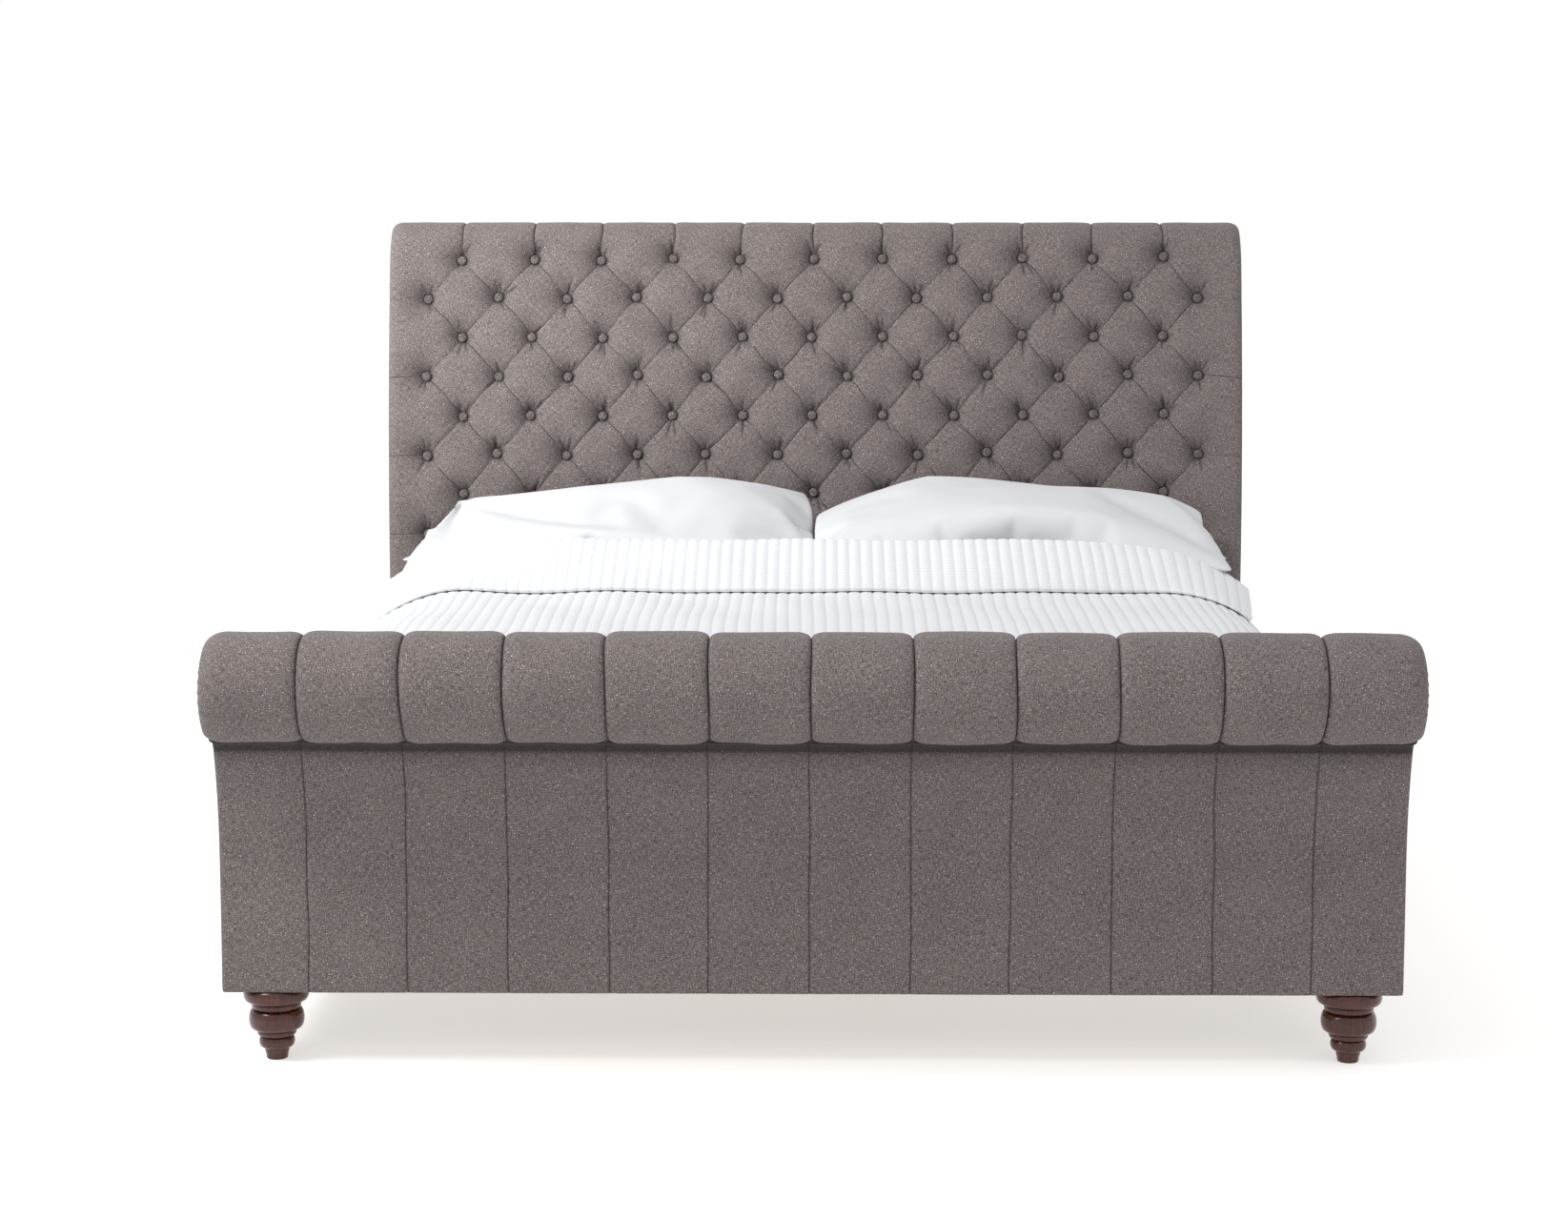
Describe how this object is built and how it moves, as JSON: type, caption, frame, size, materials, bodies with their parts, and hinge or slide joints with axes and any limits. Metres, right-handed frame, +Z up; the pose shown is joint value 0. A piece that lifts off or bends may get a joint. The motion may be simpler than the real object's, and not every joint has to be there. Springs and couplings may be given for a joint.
{
  "type": "upholstered sleigh bed",
  "caption": "King size upholstered sleigh bed with a diamond tufted headboard, a channelled rolled footboard, turned feet, slatted base, mattress, quilted coverlet and pillows.",
  "frame": {"origin": "on the floor, under the middle of the bounding box", "axes": "+X to the right seen from the foot of the bed, +Y towards the headboard, +Z up"},
  "size_m": [2.05, 2.6125, 1.4098],
  "materials": {
    "linen": "heathered grey-brown linen weave with light slubs",
    "timber": "planed pine, unvarnished",
    "plywood": "bent plywood",
    "mahogany": "dark mahogany stain under gloss varnish",
    "dark_metal": "black lacquered steel",
    "ticking": "white knitted mattress ticking",
    "quilting": "white quilted cotton",
    "cotton": "white percale cotton"
  },
  "bodies": {
    "bed_frame": {"beam_hanger_foot": "dark_metal", "beam_hanger_head": "dark_metal", "centre_beam": "timber", "centre_leg_back": "timber", "centre_leg_front": "timber", "foot_back_left": "mahogany", "foot_back_right": "mahogany", "foot_front_left": "mahogany", "foot_front_right": "mahogany", "footboard_bottom_rail": "timber", "footboard_facing_left": "linen", "footboard_facing_right": "linen", "footboard_front_panel": "linen", "footboard_inner_panel": "linen", "footboard_rib_centre": "timber", "footboard_rib_left": "timber", "footboard_rib_right": "timber", "footboard_roll_pad": "linen", "footboard_top_rail": "timber", "headboard_back_panel": "linen", "headboard_board": "plywood", "headboard_bottom_rail": "timber", "headboard_facing_left": "linen", "headboard_facing_right": "linen", "headboard_lower_panel": "linen", "headboard_mid_rail": "timber", "headboard_rib_centre": "timber", "headboard_rib_left": "timber", "headboard_rib_right": "timber", "headboard_top_rail": "timber", "headboard_tufted_pad": "linen", "ledger_left": "timber", "ledger_right": "timber", "rail_bracket_foot_left": "dark_metal", "rail_bracket_foot_right": "dark_metal", "rail_bracket_head_left": "dark_metal", "rail_bracket_head_right": "dark_metal", "side_rail_cover_left": "linen", "side_rail_cover_right": "linen", "side_rail_left": "timber", "side_rail_right": "timber", "slat_01": "timber", "slat_02": "timber", "slat_03": "timber", "slat_04": "timber", "slat_05": "timber", "slat_06": "timber", "slat_07": "timber", "slat_08": "timber", "slat_09": "timber", "slat_10": "timber"},
    "front_leveller": {"leveller_front": "dark_metal"},
    "back_leveller": {"leveller_back": "dark_metal"},
    "made_mattress": {"mattress": "ticking", "coverlet": "quilting"},
    "left_under_pillow": {"pillow_left_back": "cotton"},
    "left_top_pillow": {"pillow_left_front": "cotton"},
    "right_under_pillow": {"pillow_right_back": "cotton"},
    "right_top_pillow": {"pillow_right_front": "cotton"}
  },
  "joints": [
    {"name": "front_leveller_screw", "type": "slide", "parent": "bed_frame", "child": "front_leveller", "axis": [0, 0, 1], "range_m": [0, 0.015]},
    {"name": "back_leveller_screw", "type": "slide", "parent": "bed_frame", "child": "back_leveller", "axis": [0, 0, 1], "range_m": [0, 0.015]},
    {"name": "mattress_lift", "type": "slide", "parent": "bed_frame", "child": "made_mattress", "axis": [0, 0, 1], "range_m": [0, 0.3]},
    {"name": "left_under_pillow_lift", "type": "slide", "parent": "made_mattress", "child": "left_under_pillow", "axis": [0, 0, 1], "range_m": [0, 0.15]},
    {"name": "left_top_pillow_lift", "type": "slide", "parent": "left_under_pillow", "child": "left_top_pillow", "axis": [0, 0, 1], "range_m": [0, 0.25]},
    {"name": "right_under_pillow_lift", "type": "slide", "parent": "made_mattress", "child": "right_under_pillow", "axis": [0, 0, 1], "range_m": [0, 0.15]},
    {"name": "right_top_pillow_lift", "type": "slide", "parent": "right_under_pillow", "child": "right_top_pillow", "axis": [0, 0, 1], "range_m": [0, 0.25]}
  ]
}
